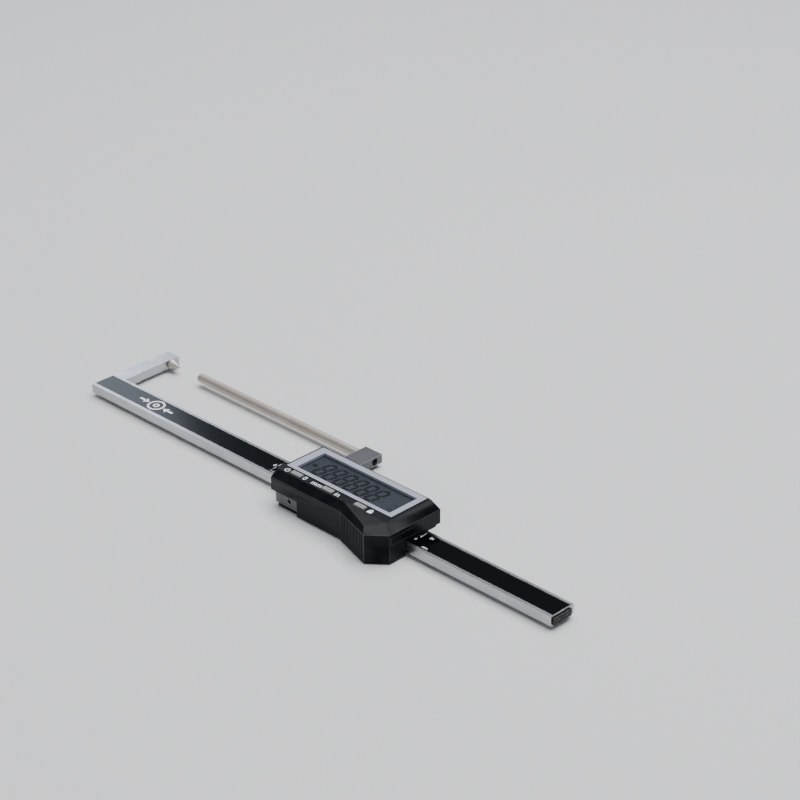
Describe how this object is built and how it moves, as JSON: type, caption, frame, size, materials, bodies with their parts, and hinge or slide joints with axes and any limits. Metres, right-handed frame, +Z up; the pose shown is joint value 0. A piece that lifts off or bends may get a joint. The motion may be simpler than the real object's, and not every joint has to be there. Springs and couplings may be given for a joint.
{
  "type": "digital caliper",
  "caption": "Digital brake-disc caliper: a steel beam with a fixed anvil, and a slider with a display housing and a long measuring rod.",
  "frame": {"origin": "on the underside of the slider's back plate, below the beam's centre line, 200 mm from the beam's jaw end", "axes": "+X along the beam from the jaw end to the stop end, +Y the way the jaws point, +Z up out of the display"},
  "size_m": [0.3371, 0.0742, 0.0202],
  "materials": {
    "polished_steel": "polished",
    "ground_steel": "satin",
    "rod_steel": "satin",
    "black_steel": "satin",
    "brass": "satin",
    "black_laminate": "gloss",
    "black_abs": "satin",
    "silver_plastic": "satin",
    "clear_acrylic": "gloss",
    "lcd_glass": "satin",
    "key_rubber": "matte",
    "dark_rubber": "matte",
    "circuit_green": "satin",
    "chip_epoxy": "matte",
    "cell_steel": "polished"
  },
  "bodies": {
    "beam": {"beam": "polished_steel", "scale_strip": "black_laminate", "fixed_anvil": "rod_steel", "end_stop": "black_steel", "end_stop_screw_1": "black_steel", "end_stop_screw_2": "black_steel"},
    "slider": {"slider_frame": "ground_steel", "gib_strip": "brass", "lock_pad": "brass", "back_plate": "black_steel", "measuring_rod": "rod_steel", "rod_screw": "black_steel", "gib_screw_1": "black_steel", "gib_screw_2": "black_steel", "back_plate_screw_1": "black_steel", "back_plate_screw_2": "black_steel", "back_plate_screw_3": "black_steel", "back_plate_screw_4": "black_steel", "housing_screw_1": "black_steel", "housing_screw_2": "black_steel", "housing_screw_3": "black_steel", "upper_housing": "black_abs", "grip_base": "black_abs", "display_bezel": "silver_plastic", "display_lens": "clear_acrylic", "lcd_panel": "lcd_glass", "circuit_board": "circuit_green", "zebra_strip_front": "dark_rubber", "zebra_strip_back": "dark_rubber", "controller_chip": "chip_epoxy", "battery_contact_pos": "brass", "battery_contact_neg": "brass", "button_dome_1": "polished_steel", "button_dome_2": "polished_steel", "button_dome_3": "polished_steel"},
    "button_power": {"button_power": "key_rubber"},
    "button_unit": {"button_unit": "key_rubber"},
    "button_hold": {"button_hold": "key_rubber"},
    "battery_drawer": {"battery_drawer": "black_abs", "battery_cell": "cell_steel"},
    "lock_screw": {"lock_screw": "polished_steel"}
  },
  "joints": [
    {"name": "slider_travel", "type": "slide", "parent": "beam", "child": "slider", "axis": [1, 0, 0], "range_m": [-0.017, 0.083]},
    {"name": "power_press", "type": "slide", "parent": "slider", "child": "button_power", "axis": [0, 0, -1], "range_m": [0, 0.0006], "stiffness_N_per_m": 900, "springref_m": -0.0002},
    {"name": "unit_press", "type": "slide", "parent": "slider", "child": "button_unit", "axis": [0, 0, -1], "range_m": [0, 0.0006], "stiffness_N_per_m": 900, "springref_m": -0.0002},
    {"name": "hold_press", "type": "slide", "parent": "slider", "child": "button_hold", "axis": [0, 0, -1], "range_m": [0, 0.0006], "stiffness_N_per_m": 900, "springref_m": -0.0002},
    {"name": "drawer_slide", "type": "slide", "parent": "slider", "child": "battery_drawer", "axis": [1, 0, 0], "range_m": [0, 0.022]},
    {"name": "lock_turn", "type": "hinge", "parent": "slider", "child": "lock_screw", "pos_m": [0, 0.0195, 0.005], "axis": [0, 1, 0], "range_deg": [0, 180]}
  ]
}
